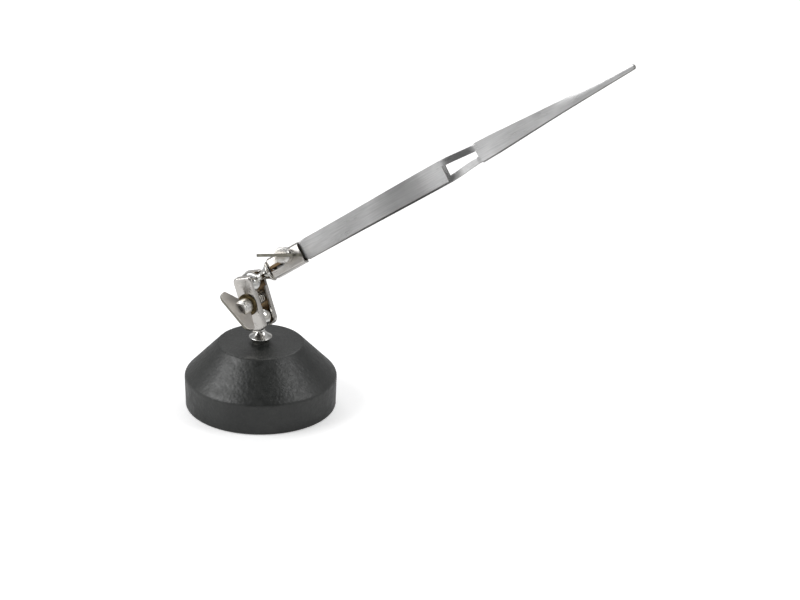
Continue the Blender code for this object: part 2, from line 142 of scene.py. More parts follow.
def rounded(corners, steps=6):
    """A closed outline from (x, y, corner radius), each corner turned into an arc."""
    points = []
    count = len(corners)
    for i, (x, y, radius) in enumerate(corners):
        here = Vector((x, y))
        if radius <= 0:
            points.append((x, y))
            continue
        back = (Vector(corners[i - 1][:2]) - here).normalized()
        ahead = (Vector(corners[(i + 1) % count][:2]) - here).normalized()
        half = back.angle(ahead) / 2
        if half > math.radians(89.5):
            points.append((x, y))
            continue
        centre = here + (back + ahead).normalized() * (radius / math.sin(half))
        first = here + back * (radius / math.tan(half)) - centre
        last = here + ahead * (radius / math.tan(half)) - centre
        for k in range(steps + 1):
            point = centre + first.normalized().slerp(last.normalized(), k / steps) * radius
            points.append((point.x, point.y))
    return points


def turned(name, profile, matrix, mats, steps=96, closed=False):
    """A turned piece about its frame's Z from (radius, height) points."""
    bm = bmesh.new()
    rings = []
    for r, z in profile:
        if r < 1e-6:
            rings.append([bm.verts.new((0, 0, z * MM))])
            continue
        ring = []
        for i in range(steps):
            a = 2 * math.pi * i / steps
            ring.append(bm.verts.new((r * math.cos(a) * MM, r * math.sin(a) * MM, z * MM)))
        rings.append(ring)
    pairs = list(zip(rings, rings[1:]))
    if closed:
        pairs.append((rings[-1], rings[0]))
    for a, b in pairs:
        for i in range(steps):
            j = (i + 1) % steps
            if len(a) == 1:
                bm.faces.new((a[0], b[i], b[j]))
            elif len(b) == 1:
                bm.faces.new((a[i], b[0], a[j]))
            else:
                bm.faces.new((a[i], b[i], b[j], a[j]))
    bmesh.ops.recalc_face_normals(bm, faces=bm.faces)
    return finish_mesh(name, bm, matrix, mats)


def prism(name, outline, low, high, matrix, mats, edge=0.0, segments=3):
    """A flat piece: an outline in X and Y between two heights, its two rims rounded by edge."""
    bm = bmesh.new()
    bottom = [bm.verts.new((x * MM, y * MM, low * MM)) for x, y in outline]
    top = [bm.verts.new((x * MM, y * MM, high * MM)) for x, y in outline]
    count = len(outline)
    for i in range(count):
        j = (i + 1) % count
        bm.faces.new((bottom[i], bottom[j], top[j], top[i]))
    caps = [bm.faces.new(top), bm.faces.new(list(reversed(bottom)))]
    bmesh.ops.recalc_face_normals(bm, faces=bm.faces)
    if edge:
        rims = list({e for face in caps for e in face.edges})
        bmesh.ops.bevel(bm, geom=rims, offset=edge * MM, segments=segments, profile=0.5,
                        affect="EDGES", clamp_overlap=True)
    return settle_normals(finish_mesh(name, bm, matrix, mats), 50)


def cylinder_cutter(name, radius, low, high, matrix):
    cutter = turned(name, [(0, high), (radius, high), (radius, low), (0, low)], matrix, [], CUTTER_STEPS)
    cutter.hide_render = True
    return cutter


def box_cutter(name, low, high, matrix):
    bm = bmesh.new()
    bmesh.ops.create_cube(bm, size=1.0)
    low, high = Vector(low) * MM, Vector(high) * MM
    bmesh.ops.scale(bm, vec=high - low, verts=bm.verts)
    bmesh.ops.translate(bm, vec=(high + low) / 2, verts=bm.verts)
    cutter = finish_mesh(name, bm, matrix, [])
    cutter.hide_render = True
    return cutter


def apply_modifiers(obj):
    """Replace a piece's mesh with its evaluated mesh, so that no modifier and no cutter is left."""
    graph = bpy.context.evaluated_depsgraph_get()
    graph.update()
    mesh = bpy.data.meshes.new_from_object(obj.evaluated_get(graph))
    obj.modifiers.clear()
    obj.data = mesh


def settle_normals(obj, smooth=45):
    """Smooth shading in which the large flat faces stay flat and only their rounded edges turn."""
    obj.data.shade_smooth()
    obj.data.set_sharp_from_angle(angle=math.radians(smooth))
    weighted = obj.modifiers.new("normals", "WEIGHTED_NORMAL")
    weighted.mode = "FACE_AREA"
    weighted.keep_sharp = True
    apply_modifiers(obj)
    return obj


def carve(obj, cutters, edge=0.0, segments=2, angle=40, smooth=45):
    """Cut pieces out of obj, round its sharp edges and leave a plain mesh."""
    for cutter in cutters:
        boolean = obj.modifiers.new("cut", "BOOLEAN")
        boolean.operation = "DIFFERENCE"
        boolean.solver = "EXACT"
        boolean.object = cutter
    apply_modifiers(obj)
    for cutter in cutters:
        bpy.data.objects.remove(cutter, do_unlink=True)
    if edge:
        round_edges(obj, edge, segments, angle)
    settle_normals(obj, smooth)


def inside_cutter(obj):
    """Hide a cutter whose faces leave the second material, the painted brown shade of hollows, on the
    walls that it cuts.
    """
    obj.hide_render = True
    obj.data.polygons.foreach_set("material_index", [1] * len(obj.data.polygons))


def round_edges(obj, edge, segments=2, angle=40):
    """Bevel the edges sharper than an angle and leave a plain mesh."""
    bevel = obj.modifiers.new("edge", "BEVEL")
    bevel.width = edge * MM
    bevel.segments = segments
    bevel.limit_method = "ANGLE"
    bevel.angle_limit = math.radians(angle)
    bevel.use_clamp_overlap = True
    bevel.miter_outer = "MITER_ARC"
    apply_modifiers(obj)


def smoothstep(value, start, end):
    t = min(1.0, max(0.0, (value - start) / (end - start)))
    return t * t * (3 - 2 * t)


def darken_rims(obj, axis):
    """Give a sheet piece's cut edges its second material, a painted dark shade; axis is the one across
    its thickness.
    """
    for face in obj.data.polygons:
        if abs(face.normal[axis]) < 0.5:
            face.material_index = 1


def stand_for(obj, body, node):
    """Ride on a body and stand for a CAD node."""
    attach(obj, body)
    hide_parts(node)


# Materials ----------------------------------------------------------------------------------------

class Nodes:
    """Short way to add and join shader nodes in a material or the world."""

    def __init__(self, owner):
        owner.use_nodes = True
        self.tree = owner.node_tree

    def add(self, kind, **inputs):
        node = self.tree.nodes.new(kind)
        for key, value in inputs.items():
            self.set(node.inputs[key.replace("_", " ")], value)
        return node

    def set(self, socket, value):
        if isinstance(value, bpy.types.NodeSocket):
            self.tree.links.new(value, socket)
        else:
            socket.default_value = value

    def ramp(self, value, low, high, out_low, out_high):
        node = self.add("ShaderNodeMapRange", Value=value)
        node.inputs["From Min"].default_value = low
        node.inputs["From Max"].default_value = high
        node.inputs["To Min"].default_value = out_low
        node.inputs["To Max"].default_value = out_high
        return node.outputs["Result"]

    def math(self, operation, a, b):
        node = self.tree.nodes.new("ShaderNodeMath")
        node.operation = operation
        self.set(node.inputs[0], a)
        self.set(node.inputs[1], b)
        return node.outputs[0]

    def mix(self, factor, a, b):
        node = self.tree.nodes.new("ShaderNodeMix")
        node.data_type = "RGBA"
        self.set(node.inputs[0], factor)
        self.set(node.inputs[6], (*a, 1.0) if isinstance(a, tuple) else a)
        self.set(node.inputs[7], (*b, 1.0) if isinstance(b, tuple) else b)
        return node.outputs[2]


class Surface(Nodes):
    """The nodes of one material, mapped in its piece's own frame."""

    def __init__(self, name):
        self.material = bpy.data.materials.new(name)
        super().__init__(self.material)
        self.shader = self.tree.nodes["Principled BSDF"]
        self.coords = self.add("ShaderNodeTexCoord").outputs["Object"]

    def stretch(self, scale):
        mapping = self.add("ShaderNodeMapping", Vector=self.coords)
        mapping.inputs["Scale"].default_value = scale
        return mapping.outputs["Vector"]

    def noise(self, scale, detail=3.0, rough=0.55, vector=None):
        node = self.add("ShaderNodeTexNoise", Vector=vector or self.coords, Scale=scale, Detail=detail,
                        Roughness=rough)
        return node.outputs["Fac"]

    def bump(self, height, distance, strength=1.0, normal=None):
        node = self.add("ShaderNodeBump", Height=height, Strength=strength, Distance=distance)
        if normal is not None:
            self.set(node.inputs["Normal"], normal)
        return node.outputs["Normal"]

    def done(self, **inputs):
        for key, value in inputs.items():
            self.set(self.shader.inputs[key.replace("_", " ")], value)
        return self.material


def black_paint():
    """Satin black paint over a grained casting: small soft pebbles with finer grain on top."""
    n = Surface("black_paint")
    pebble = n.add("ShaderNodeTexVoronoi", Vector=n.coords, Scale=820.0)
    pebble.feature = "SMOOTH_F1"
    pebbles = n.ramp(pebble.outputs["Distance"], 0.1, 0.75, 1.0, 0.0)
    soft = n.noise(420.0, 4.0, 0.6)
    fine = n.noise(2600.0, 2.0, 0.5)
    wear = n.noise(60.0, 5.0, 0.6)
    height = n.math("ADD", n.math("MULTIPLY", pebbles, 0.5), soft)
    normal = n.bump(fine, 0.00003, 0.4, n.bump(height, 0.00013, 0.9))
    colour = n.mix(n.ramp(wear, 0.35, 0.7, 0.0, 1.0), (0.010, 0.0115, 0.0105), (0.020, 0.022, 0.020))
    rough = n.ramp(soft, 0.3, 0.7, 0.34, 0.52)
    return n.done(Base_Color=colour, Roughness=rough, Normal=normal, Specular_IOR_Level=0.7)


def polished(name, colour, dull, rough_low, rough_high, scratch=0.15):
    """Turned and polished metal: faint stains and hairline scratches."""
    n = Surface(name)
    stain = n.noise(300.0, 4.0, 0.6)
    hair = n.noise(5200.0, 2.0, 0.5, n.stretch((1.0, 1.0, 0.12)))
    tint = n.mix(n.ramp(stain, 0.45, 0.75, 0.0, 1.0), colour, dull)
    rough = n.ramp(stain, 0.3, 0.7, rough_low, rough_high)
    return n.done(Base_Color=tint, Metallic=1.0, Roughness=rough, Normal=n.bump(hair, 0.00001, scratch))


def satin_nickel(name, colour, stain_and_shade_colour, amount, rough_low=0.24, rough_high=0.36,
                 grain=(1.0, 1.0, 0.05)):
    """Stamped sheet under satin nickel: rolling lines, cloudy plating and a warm stain; with dark colours
    it gives the painted shade of hollows and rims.
    """
    n = Surface(name)
    rolled = n.noise(2400.0, 3.0, 0.6, n.stretch(grain))
    cloud = n.noise(210.0, 4.0, 0.6)
    stain = n.noise(330.0, 5.0, 0.65)
    tint = n.mix(n.ramp(stain, 0.5, 0.8, 0.0, amount), colour, stain_and_shade_colour)
    rough = n.ramp(cloud, 0.3, 0.7, rough_low, rough_high)
    rough = n.math("ADD", rough, n.ramp(rolled, 0.3, 0.7, -0.03, 0.03))
    normal = n.bump(cloud, 0.00006, 0.25, n.bump(rolled, 0.000012, 0.3))
    return n.done(Base_Color=tint, Metallic=1.0, Roughness=rough, Normal=normal)


def brushed_stainless():
    """Stainless strip brushed along its length, with painted shade over the grip and a painted brighter
    reflection on the bend and jaw.
    """
    n = Surface("brushed_stainless")
    lines = n.noise(2600.0, 4.0, 0.6, n.stretch((0.03, 1.0, 1.0)))
    fine = n.noise(7000.0, 2.0, 0.5, n.stretch((0.05, 1.0, 1.0)))
    cloud = n.noise(70.0, 4.0, 0.6, n.stretch((0.7, 1.0, 1.0)))
    along = n.add("ShaderNodeSeparateXYZ", Vector=n.coords).outputs["X"]
    # Painted light along X: a patch of painted shade over the grip, and a painted highlight that
    # brightens the bend and jaw.
    shaded_grip = n.ramp(along, 0.058, 0.070, 0.0, 0.19)
    shaded_grip = n.math("MULTIPLY", shaded_grip, n.ramp(along, 0.076, 0.087, 1.0, 0.0))
    tone = n.math("ADD", n.ramp(along, 0.083, 0.092, 0.57, 0.86), n.ramp(along, 0.10, 0.125, 0.0, -0.09))
    tone = n.math("SUBTRACT", tone, shaded_grip)
    tone = n.math("MULTIPLY", tone, n.ramp(cloud, 0.35, 0.7, 0.90, 1.08))
    tone = n.math("MULTIPLY", tone, n.ramp(lines, 0.35, 0.65, 1.05, 0.84))
    rough = n.math("ADD", n.ramp(cloud, 0.3, 0.7, 0.27, 0.38), n.ramp(lines, 0.3, 0.7, -0.05, 0.05))
    normal = n.bump(fine, 0.000008, 0.3, n.bump(lines, 0.00002, 0.35))
    return n.done(Base_Color=tone, Metallic=1.0, Roughness=rough, Normal=normal)


BLACK = black_paint()
CHROME = polished("chrome", (0.82, 0.82, 0.80), (0.62, 0.58, 0.50), 0.05, 0.14)
STEEL = polished("polished_steel", (0.74, 0.73, 0.70), (0.55, 0.48, 0.38), 0.12, 0.24, 0.3)
HUB_STEEL = polished("hub_steel", (0.86, 0.85, 0.82), (0.66, 0.60, 0.50), 0.24, 0.36, 0.3)
SPRING = polished("spring_wire", (0.72, 0.70, 0.66), (0.46, 0.40, 0.31), 0.12, 0.24, 0.4)
NICKEL = satin_nickel("nickel_plate", (0.66, 0.64, 0.61), (0.50, 0.44, 0.36), 0.6)
# Painted shade: a dark brown copy of the nickel for the walls inside hollows, where shade falls.
NICKEL_PAINTED_SHADE = satin_nickel("nickel_painted_shade", (0.30, 0.21, 0.12), (0.16, 0.10, 0.05), 1.0, 0.34, 0.5)
BRUSHED = brushed_stainless()
BLADE = satin_nickel("blade_steel", (0.60, 0.57, 0.53), (0.42, 0.37, 0.31), 0.6, 0.34, 0.46,
                     (0.05, 1.0, 1.0))
# Painted shade: a dark tone for the rims of the blades and tweezer arms, which gives them dark outlines.
RIM = satin_nickel("painted_dark_rim", (0.26, 0.25, 0.21), (0.16, 0.14, 0.11), 0.7, 0.28, 0.4)
BRONZE = polished("dark_bronze", (0.13, 0.10, 0.05), (0.04, 0.03, 0.015), 0.3, 0.5, 0.3)
BRASS = polished("brass", (0.62, 0.45, 0.20), (0.42, 0.30, 0.14), 0.2, 0.34, 0.3)


# Base ---------------------------------------------------------------------------------------------

def make_base():
    """The casting: flat top, cone, rounded rim, slightly tapered side and a counterbore."""
    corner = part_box("base_casting")[1]
    rim_r, height = corner.x / MM, corner.z / MM
    draft, cone = 0.45, 12.6
    foot_r, top_r, rim_z = rim_r - draft, rim_r - cone, 12.2
    bore_r, counter_r = 2.7, 9.0
    top_round, rim_round, foot_round = 1.4, 2.2, 0.9
    counter_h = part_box("base_stud_washer")[1].z / MM + GAP
    slope = math.degrees(math.atan2(height - rim_z, rim_r - top_r))
    profile = [(bore_r, height), (bore_r + 2.0, height), (top_r - 6.0, height)]
    profile += arc((top_r - top_round, height - top_round), top_round, 90, 90 - slope, 7)
    rim = arc((rim_r - rim_round, rim_z), rim_round, 90 - slope, 0, 9)
    last, first = profile[-1], rim[0]
    for i in range(1, 12):
        profile.append((last[0] + (first[0] - last[0]) * i / 12, last[1] + (first[1] - last[1]) * i / 12))
    profile += rim
    profile += [(rim_r - 0.02 - (draft - 0.02) * i / 8, rim_z - (rim_z - foot_round) * i / 8)
                for i in range(1, 8)]
    profile += arc((foot_r - foot_round, foot_round), foot_round, 0, -90, 6)
    profile += [(20.0, 0), (counter_r + 0.4, 0), (counter_r, 0.4)]
    profile += [(counter_r, counter_h), (bore_r, counter_h)]
    base = turned("base", profile, Matrix.Identity(4), BLACK, steps=180, closed=True)
    stand_for(base, "base", "base_casting")


BALL_R = 4.3
BASE_FLARE_END, BASE_FLANGE_R = 8.2, 4.65
ARM_FLARE_END, ARM_FLANGE_R, ARM_FOOT = 9.6, 4.25, 10.4
SHANK_R = 2.5
FLANGE_RIM = [(0.03, 0.08), (0.0, 0.18), (0.0, 0.3), (0.06, 0.45), (0.3, 0.6)]   # (inset, drop)


def stud_profile(flare_end, flange_r, foot, tail):
    """Ball, neck, trumpet flange with a rounded rim, undercut foot, and the tail."""
    ball_r, neck_r, neck_end, foot_r = BALL_R, 1.6, 4.6, 3.3
    ball = arc((0, 0), ball_r, 90, -math.degrees(math.acos(neck_r / ball_r)) + 2.0, 44)
    ball[0] = (0, ball_r)
    points = ball + [(neck_r + 0.02, -4.12), (neck_r, -4.3)]
    for i in range(21):
        along = i / 20
        radius = neck_r + (flange_r - 0.12 - neck_r) * along ** 2.2
        points.append((radius, -neck_end - (flare_end - neck_end) * along))
    points += [(flange_r - inset, -flare_end - drop) for inset, drop in FLANGE_RIM]
    points += [(foot_r + 0.1, -foot + 0.2), (foot_r, -foot + 0.1), (foot_r, -foot)]
    return points + [(r, -h) for r, h in tail]


def threaded(radius, high, low, pitch=0.5, depth=0.16):
    """Side of a threaded shank as close rings, from high to low."""
    points = []
    count = int((high - low) / pitch)
    for i in range(count):
        z = high - pitch * i
        points += [(radius, z - 0.05), (radius - depth, z - pitch / 2), (radius, z - pitch + 0.05)]
    return points


def make_studs():
    """The base stud with its threaded shank, and the arm stud with its tail riveted in the sleeve."""
    bottom = (joint_point("base_swivel").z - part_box("base_ball_stud")[0].z) / MM
    foot = (joint_point("base_swivel").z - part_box("base_casting")[1].z) / MM - GAP
    tail = [(SHANK_R, foot)] + [(r, -z) for r, z in threaded(SHANK_R, -foot - 0.4, -bottom + 0.6)]
    tail += [(2.1, bottom - 0.1), (1.9, bottom), (0, bottom)]
    stud = turned("base_stud", stud_profile(BASE_FLARE_END, BASE_FLANGE_R, foot, tail), STUD, CHROME)
    stand_for(stud, "base_stud", "base_ball_stud")
    wall = SLEEVE_FROM + SLEEVE_WALL
    tail = [(1.2, ARM_FOOT), (1.2, wall + 0.1), (1.6, wall + 0.1), (1.5, wall + 0.5), (1.1, wall + 0.75)]
    profile = stud_profile(ARM_FLARE_END, ARM_FLANGE_R, ARM_FOOT, tail + [(0, wall + 0.8)])
    stud = turned("arm_stud", profile, ARM_STUD, CHROME)
    stand_for(stud, "arm_stud", "arm_ball_stud")


def make_base_nut():
    """Washer against the counterbore's roof and a chamfered hexagon nut under it."""
    under, over = (corner.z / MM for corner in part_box("base_stud_washer"))
    profile = [(2.65, over), (4.85, over), (5.0, over - 0.15), (5.0, under + 0.15), (4.85, under)]
    profile += [(2.8, under), (2.65, under + 0.15)]
    washer = turned("base_washer", profile, Matrix.Identity(4), STEEL, closed=True)
    stand_for(washer, "base", "base_stud_washer")
    low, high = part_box("base_stud_nut")
    across = 4.0 / math.cos(math.radians(30))
    hexagon = arc((0, 0), across, 0, 300, 5)
    nut = prism("base_nut", hexagon, low.z / MM, high.z / MM, Matrix.Identity(4), STEEL, edge=0.35)
    carve(nut, [cylinder_cutter("bore", 2.65, 0, 12, Matrix.Identity(4))], edge=0.08)
    stand_for(nut, "base_stud", "base_stud_nut")


# Clamp --------------------------------------------------------------------------------------------

PLATE_FACE = 5.5
SHEET = 0.8
PLATE_HALF_W = 4.65
PLATE_LOW_END, PLATE_HIGH_END = 4.4, 3.8       # from a ball's centre to the end of a plate
PLATE_LOW_R, PLATE_HIGH_R = 3.0, 2.2           # corner radii
PLATE_ROUND = 0.95                             # between the face and the sides
HOOD_LOW, HOOD_HIGH = 3.5, 3.1                 # where the deeper hoods begin
FRONT_LIP, REAR_LIP, NECK_LIP = 3.2, 2.6, 4.15
NECK_FROM, NECK_PAST = 2.9, 0.3                # the opening for the arm stud's neck
SCREW_R, SCREW_HOLE_R = 1.5, 1.7


def plate_outline(inset):
    """A plate seen from its face: X across, Y from the lower ball to the upper one."""
    x, low, high = PLATE_HALF_W - inset, inset - PLATE_LOW_END, BALL_SPACING + PLATE_HIGH_END - inset
    low_r, high_r = max(0.04, PLATE_LOW_R - inset), max(0.04, PLATE_HIGH_R - inset)
    return rounded([(x, low, low_r), (x, high, high_r), (-x, high, high_r), (-x, low, low_r)], 8)


def lofted(name, outline, levels, matrix, mats, shape=None):
    """A closed piece through outlines at levels of (inset, height); shape may move each point."""
    bm = bmesh.new()
    loops = []
    for inset, z in levels:
        points = [(x, y, z) for x, y in outline(inset)]
        if shape:
            points = [shape(*point) for point in points]
        loops.append([bm.verts.new(Vector(point) * MM) for point in points])
    count = len(loops[0])
    for a, b in zip(loops, loops[1:]):
        for i in range(count):
            j = (i + 1) % count
            bm.faces.new((a[i], a[j], b[j], b[i]))
    bm.faces.new(loops[-1])
    bm.faces.new(list(reversed(loops[0])))
    bmesh.ops.recalc_face_normals(bm, faces=bm.faces)
    return finish_mesh(name, bm, matrix, mats)


def creased(x, y, z):
    """Lower a plate's face towards its sides, which leaves a soft ridge along its middle."""
    weight = min(1.0, max(0.0, (z - 3.8) / 1.7))
    drop = 0.42 * weight * (math.hypot(x, 0.45) - 0.45) / 3.3
    return x, y, z - drop


def ball_seat(matrix):
    """Cutter for the dished seat in which a plate holds the upper ball."""
    profile = arc((0, 0), BALL_R + GAP, 90, -90, 32)
    profile[0], profile[-1] = (0, BALL_R + GAP), (0, -BALL_R - GAP)
    seat = turned("seat", profile, matrix @ Matrix.Translation((0, BALL_SPACING * MM, 0)), [])
    seat.hide_render = True
    return seat


def make_plate(name, half_turn, lip, body, node):
    """Stamped tray: creased face, rounded edge, side lips and deeper hoods round the two balls."""
    matrix = CLAMP @ Matrix.Rotation(half_turn, 4, "Z") @ Matrix.Rotation(math.radians(90), 4, "X")
    levels = [(0.0, 2.6), (0.0, 3.4)]
    for k in range(9):
        a = math.radians(k * 11.25)
        height = PLATE_FACE - PLATE_ROUND + PLATE_ROUND * math.sin(a)
        levels.append((PLATE_ROUND - PLATE_ROUND * math.cos(a), height))
    levels += [(inset, PLATE_FACE) for inset in (1.3, 1.8, 2.4, 3.0, 3.5, 3.9, 4.2, 4.4, 4.55)]
    # The second material is the painted brown shade that the hollow, lips and hole leave on their walls.
    plate = lofted(name, plate_outline, levels, matrix, [NICKEL, NICKEL_PAINTED_SHADE], creased)
    inner = PLATE_FACE - SHEET
    hollow = lofted("hollow", lambda inset: plate_outline(SHEET + inset),
                    [(0.0, -1.0), (0.0, inner - 0.3), (0.3, inner)], matrix, [NICKEL_PAINTED_SHADE])
    inside_cutter(hollow)
    top = BALL_SPACING + HOOD_HIGH
    side = box_cutter("side", (-8, -HOOD_LOW, -1), (8, top, lip), matrix)
    neck = box_cutter("neck", (-8, BALL_SPACING - NECK_FROM, -1), (8, top + NECK_PAST, NECK_LIP), matrix)
    middle = matrix @ Matrix.Translation((0, BALL_SPACING / 2 * MM, 0))
    hole = cylinder_cutter("hole", SCREW_HOLE_R, 3, 8, middle)
    carve(plate, [hollow, side, neck, hole, ball_seat(matrix)], edge=0.16, segments=3, angle=50)
    stand_for(plate, body, node)


def make_clamp_screw():
    """Domed, slotted head behind the rear plate; the shank is threaded inside the butterfly nut."""
    matrix = SCREW_AXIS @ Matrix.Rotation(math.radians(-90), 4, "X")
    seat, end = PLATE_FACE + GAP, -(PLATE_FACE + 4.6)
    dome_r, dome_h = 2.992, 1.45
    profile = []
    for k in range(13):
        a = math.radians(k * 7.5)
        profile.append((dome_r * math.sin(a), seat + 0.55 + dome_h * math.cos(a)))
    profile += [(3.1, seat + 0.5), (3.1, seat + 0.15), (2.95, seat), (SCREW_R, seat), (SCREW_R, -2.0)]
    profile += threaded(SCREW_R, -2.0, end + 0.5) + [(1.3, end + 0.3), (1.1, end), (0, end)]
    screw = turned("clamp_screw_fine", profile, matrix, STEEL, steps=64)
    slot = box_cutter("driver_slot", (-5, -0.35, seat + 1.15), (5, 0.35, seat + 4), matrix)
    carve(screw, [slot], edge=0.06)
    stand_for(screw, "clamp", "clamp_screw")


def make_clamp_spring():
    """Round wire wound round the screw, with closed ends against the two plates."""
    matrix = SCREW_AXIS @ Matrix.Rotation(math.radians(90), 4, "X")
    wire, radius, turns = 0.36, 2.38, 6.5
    half = PLATE_FACE - SHEET - wire - GAP
    steps, sides = int(turns * 28), 12
    bm = bmesh.new()
    rings = []
    for i in range(steps + 1):
        angle = 2 * math.pi * turns * i / steps
        along = half * (2 * i / steps - 1)
        out = Vector((math.cos(angle), math.sin(angle), 0))
        ring = []
        for k in range(sides):
            b = 2 * math.pi * k / sides
            point = out * (radius + wire * math.cos(b)) + Vector((0, 0, along + wire * math.sin(b)))
            ring.append(bm.verts.new(point * MM))
        rings.append(ring)
    for a, b in zip(rings, rings[1:]):
        for k in range(sides):
            j = (k + 1) % sides
            bm.faces.new((a[k], a[j], b[j], b[k]))
    bm.faces.new(list(reversed(rings[0])))
    bm.faces.new(rings[-1])
    bmesh.ops.recalc_face_normals(bm, faces=bm.faces)
    spring = finish_mesh("clamp_spring_fine", bm, matrix, SPRING)
    stand_for(spring, "clamp", "clamp_spring")


HALF_BLADE, BLADE_EDGE = 0.6, 0.32
HUB_SLOT_FROM = 2.2
NUT_TURN, THUMBSCREW_TURN = math.radians(120), math.radians(-26.8)


def hub_profile(low, bore):
    """Side of a butterfly hub from its top to its foot, with soft shoulders."""
    top = [(bore, 5.9), (2.55, 5.9)] + arc((2.55, 5.45), 0.45, 78, 0, 5)
    side = [(3.0, 5.15)] + arc((2.9, 4.7), 0.4, 70, 0, 4) + [(3.3, 4.2), (3.3, low + 0.4)]
    return top + side + [(3.2, low + 0.15), (3.0, low), (bore, low)]


def blade_outline(notch):
    """Butterfly blade: X along its span, Y away from the seat, with a notch for the screw."""
    right = [(1.8, 2.3, 0), (3.7, 2.3, 0.6), (9.75, 6.5, 1.2), (8.95, 10.7, 3.0)]
    left = [(-x, y, r) for x, y, r in reversed(right)]
    return rounded(right + left + [(-1.8, notch, 0.3), (1.8, notch, 0.3)], 8)


def cut_blade_slot(hub, matrix):
    """Cut the slot that a butterfly blade sits in, with clearance on both faces."""
    half = HALF_BLADE + GAP
    slot = box_cutter("slot", (-5, -half, HUB_SLOT_FROM), (5, half, 7), matrix)
    carve(hub, [slot], edge=0.12, segments=2, angle=55)


def make_blade(name, notch, matrix, body, node):
    """Flat butterfly blade standing in its hub's slot."""
    upright = matrix @ Matrix.Rotation(math.radians(90), 4, "X")
    blade = prism(name, blade_outline(notch), -HALF_BLADE, HALF_BLADE, upright, [BLADE, RIM],
                  edge=BLADE_EDGE, segments=4)
    # Painted shade on the blade's rims.
    darken_rims(blade, 2)
    stand_for(blade, body, node)


def make_clamp_nut():
    """Bronze washer, slotted hub and blade in front of the clamp's front plate."""
    matrix = face_frame(CLAMP, 0, -PLATE_FACE, BALL_SPACING / 2, NUT_TURN)
    profile = [(SCREW_HOLE_R, 0.7), (4.2, 0.7), (4.42, 0.62), (4.5, 0.45), (4.5, 0.25), (4.4, GAP)]
    profile += [(SCREW_HOLE_R, GAP)]
    washer = turned("clamp_washer_fine", profile, matrix, BRONZE, closed=True)
    stand_for(washer, "clamp_jaw", "clamp_washer")
    hub = turned("clamp_hub", hub_profile(0.8, SCREW_HOLE_R), matrix, HUB_STEEL, closed=True)
    cut_blade_slot(hub, matrix)
    stand_for(hub, "clamp_nut", "clamp_nut_hub")
    make_blade("clamp_blade", 5.1, matrix, "clamp_nut", "clamp_nut_blade")


# Holder and tweezers ------------------------------------------------------------------------------

SLEEVE_FROM, SLEEVE_TO = 10.5, 25.5
SLEEVE_WALL = 0.75
SLEEVE_LOW, SLEEVE_HIGH = -3.95, 4.95
FACE_Y, BACK_Y = -2.6, 2.6
FLAP_LEAN = 0.45                               # how far the upper flap leans back at its fold
SEAM_END = 17.6
SCREW_X, SCREW_Z = 19.65, 2.15
SLEEVE_HOLE_R, STUD_HOLE_R = 1.85, 1.3         # the pad backs into the first, under the boss
ALONG = Matrix(((0, 0, 1, 0), (1, 0, 0, 0), (0, 1, 0, 0), (0, 0, 0, 1)))


def sleeve_outline(inset):
    """Section of the sleeve in Y and Z: its upper flap leans back and ends in a wide fold."""
    corner = max(0.15, 0.95 - inset)
    wide_corner = max(0.3, 2.0 - inset)
    back, low, high = BACK_Y - inset, SLEEVE_LOW + inset, SLEEVE_HIGH - inset
    front = FACE_Y + inset
    return rounded([(back, low, corner), (back, high, corner), (front + FLAP_LEAN, high, wide_corner),
                    (front, 1.0, 9.0), (front, low, corner)], 8)


def make_sleeve():
    """Folded sleeve: closed and rounded at the stud, open at the tweezers, with a slot in its face."""
    matrix = ARM @ ALONG
    end_round_r = 0.8
    levels = []
    for k in range(7):
        a = math.radians(15 * k)
        levels.append((end_round_r - end_round_r * math.sin(a),
                       SLEEVE_FROM + end_round_r - end_round_r * math.cos(a)))
    levels += [(0.0, SLEEVE_TO - 0.12), (0.03, SLEEVE_TO - 0.04), (0.12, SLEEVE_TO)]
    # The second material is the painted brown shade left on the walls of the hollow, the seam and the
    # holes.
    sleeve = lofted("sleeve", sleeve_outline, levels, matrix, [NICKEL, NICKEL_PAINTED_SHADE])
    inside = lofted("inside", lambda inset: sleeve_outline(SLEEVE_WALL + inset),
                    [(0.0, SLEEVE_FROM + SLEEVE_WALL), (0.0, SLEEVE_TO + 2)], matrix, [NICKEL_PAINTED_SHADE])
    inside_cutter(inside)
    gap = [(-4.0, -1.0), (-1.7, -1.0), (-1.7, 0.05), (FACE_Y - 0.02, 1.44), (-4.0, 1.44)]
    seam = prism("seam", gap, SLEEVE_FROM + 0.35, SEAM_END, matrix, [NICKEL_PAINTED_SHADE])
    inside_cutter(seam)
    screw = cylinder_cutter("screw", SLEEVE_HOLE_R, 1, 4, face_frame(ARM, SCREW_X, 0, SCREW_Z, 0))
    stud = cylinder_cutter("stud", STUD_HOLE_R, 9.5, 12, ARM @ Matrix.Rotation(math.radians(90), 4, "Y"))
    carve(sleeve, [inside, seam, screw, stud], edge=0.12, segments=2, angle=50)
    stand_for(sleeve, "holder", "holder_sleeve")


